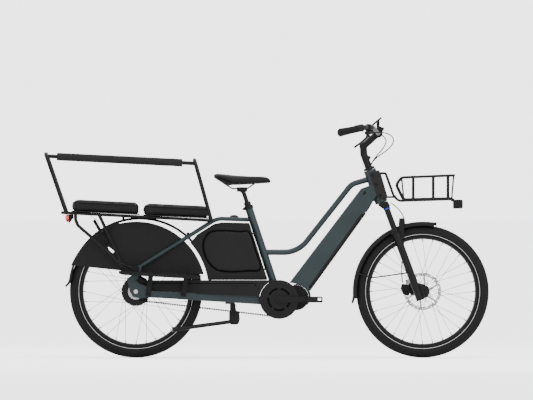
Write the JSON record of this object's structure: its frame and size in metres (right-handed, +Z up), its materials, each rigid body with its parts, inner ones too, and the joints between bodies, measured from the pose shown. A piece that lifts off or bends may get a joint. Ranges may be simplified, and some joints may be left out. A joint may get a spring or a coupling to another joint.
{
  "type": "cargo bicycle",
  "caption": "Long-tail step-through electric cargo bicycle with a cushioned rear carrier, hand rails, front basket, belt drive and two-legged stand.",
  "frame": {"origin": "on the ground, in the wheels' mid-plane, half way along the bicycle", "axes": "+X forward, +Y to the rider's left, +Z up"},
  "size_m": [2.112, 0.6942, 1.1432],
  "materials": {
    "frame_paint": "satin",
    "tyre_rubber": "matte",
    "black_alloy": "satin",
    "steel": "brushed",
    "spoke_steel": "satin",
    "black_plastic": "matte",
    "black_steel": "satin",
    "grey_plate": "satin",
    "rubber": "matte",
    "seat_cover": "matte"
  },
  "bodies": {
    "frame": {"belt_cover": "black_plastic", "cargo_rack": "black_steel", "chain_stays": "frame_paint", "down_tube": "frame_paint", "dress_guards": "black_plastic", "drive_belt": "rubber", "front_cushion": "seat_cover", "front_rack": "black_steel", "head_bracket": "grey_plate", "head_tube": "frame_paint", "headlight": "black_plastic", "motor": "black_plastic", "passenger_rails": "black_steel", "rail_pads": "rubber", "rear_axle": "steel", "rear_caliper": "black_steel", "rear_cushion": "seat_cover", "rear_fender": "black_plastic", "ring_lock": "black_plastic", "running_boards": "black_steel", "seat_clamp": "black_alloy", "seat_stays": "frame_paint", "seat_tube": "frame_paint", "side_covers": "black_plastic", "stand_bracket": "black_steel", "tail_light": "black_plastic", "top_tube": "frame_paint"},
    "battery_pack": {"battery": "black_plastic"},
    "steering": {"fork_crown": "black_alloy", "stem": "black_alloy", "handlebar": "black_alloy", "grips": "rubber", "bar_controls": "black_plastic", "display": "black_plastic", "brake_hoses": "rubber"},
    "shifter": {"twist_shifter": "black_plastic"},
    "lever_right": {"brake_lever_right": "black_steel"},
    "lever_left": {"brake_lever_left": "black_steel"},
    "fork_slider": {"fork_lowers": "black_alloy", "front_caliper": "black_steel", "front_fender": "black_plastic", "fork_hose": "rubber"},
    "front_wheel": {"front_rim": "black_alloy", "front_tyre": "tyre_rubber", "front_spokes": "spoke_steel", "front_hub": "black_alloy", "front_rotor": "steel"},
    "rear_wheel": {"rear_rim": "black_alloy", "rear_tyre": "tyre_rubber", "rear_spokes": "spoke_steel", "rear_hub": "black_alloy"},
    "cog": {"rear_sprocket": "steel"},
    "crankset": {"crank_arms": "black_alloy", "front_sprocket": "black_alloy"},
    "right_pedal": {"pedal_right": "black_plastic"},
    "left_pedal": {"pedal_left": "black_plastic"},
    "post": {"seatpost": "black_alloy"},
    "saddle_top": {"saddle": "seat_cover", "saddle_rails": "black_steel"},
    "stand": {"stand_legs": "black_steel"}
  },
  "joints": [
    {"name": "steering_turn", "type": "hinge", "parent": "frame", "child": "steering", "pos_m": [0.51748, 0, 0.81614], "axis": [-0.3453, 0, 0.9385], "range_deg": [-38, 38]},
    {"name": "fork_travel", "type": "slide", "parent": "steering", "child": "fork_slider", "axis": [-0.3453, 0, 0.9385], "range_m": [0, 0.05], "stiffness_N_per_m": 12000, "springref_m": -0.012},
    {"name": "front_wheel_spin", "type": "hinge", "parent": "fork_slider", "child": "front_wheel", "pos_m": [0.7415, 0, 0.3145], "axis": [0, 1, 0], "continuous": true},
    {"name": "rear_wheel_spin", "type": "hinge", "parent": "frame", "child": "rear_wheel", "pos_m": [-0.62, 0, 0.3145], "axis": [0, 1, 0], "continuous": true},
    {"name": "crank_spin", "type": "hinge", "parent": "frame", "child": "crankset", "pos_m": [0.06, 0, 0.277], "axis": [0, 1, 0], "continuous": true},
    {"name": "cog_spin", "type": "hinge", "parent": "frame", "child": "cog", "pos_m": [-0.62, 0, 0.3145], "axis": [0, 1, 0], "continuous": true},
    {"name": "right_pedal_spin", "type": "hinge", "parent": "crankset", "child": "right_pedal", "pos_m": [0.23, -0.138, 0.277], "axis": [0, 1, 0], "continuous": true},
    {"name": "left_pedal_spin", "type": "hinge", "parent": "crankset", "child": "left_pedal", "pos_m": [-0.11, 0.138, 0.277], "axis": [0, 1, 0], "continuous": true},
    {"name": "seat_height", "type": "slide", "parent": "frame", "child": "post", "axis": [-0.3149, 0, 0.9491], "range_m": [-0.03, 0.1]},
    {"name": "saddle_tilt", "type": "hinge", "parent": "post", "child": "saddle_top", "pos_m": [-0.116, 0, 0.797], "axis": [0, 1, 0], "range_deg": [-8, 8]},
    {"name": "battery_tilt", "type": "hinge", "parent": "frame", "child": "battery_pack", "pos_m": [0.2, 0, 0.318], "axis": [0, 1, 0], "range_deg": [0, 8]},
    {"name": "stand_swing", "type": "hinge", "parent": "frame", "child": "stand", "pos_m": [-0.16, 0, 0.24], "axis": [0, -1, 0], "range_deg": [0, 90], "stiffness_Nm_per_rad": 1.2, "springref_deg": -51.57},
    {"name": "shifter_twist", "type": "hinge", "parent": "steering", "child": "shifter", "pos_m": [0.46, -0.236, 1.093], "axis": [-0.7448, -0.6482, -0.1586], "range_deg": [-90, 90]},
    {"name": "right_brake", "type": "hinge", "parent": "steering", "child": "lever_right", "pos_m": [0.482, -0.203, 1.052], "axis": [-0.7741, 0.6331, 0], "range_deg": [0, 20], "stiffness_Nm_per_rad": 1, "springref_deg": -5.73},
    {"name": "left_brake", "type": "hinge", "parent": "steering", "child": "lever_left", "pos_m": [0.482, 0.203, 1.052], "axis": [0.7741, 0.6331, 0], "range_deg": [0, 20], "stiffness_Nm_per_rad": 1, "springref_deg": -5.73}
  ],
  "couplings": [
    {"joint": "cog_spin", "follows": "crank_spin", "ratio": 2.0909}
  ]
}
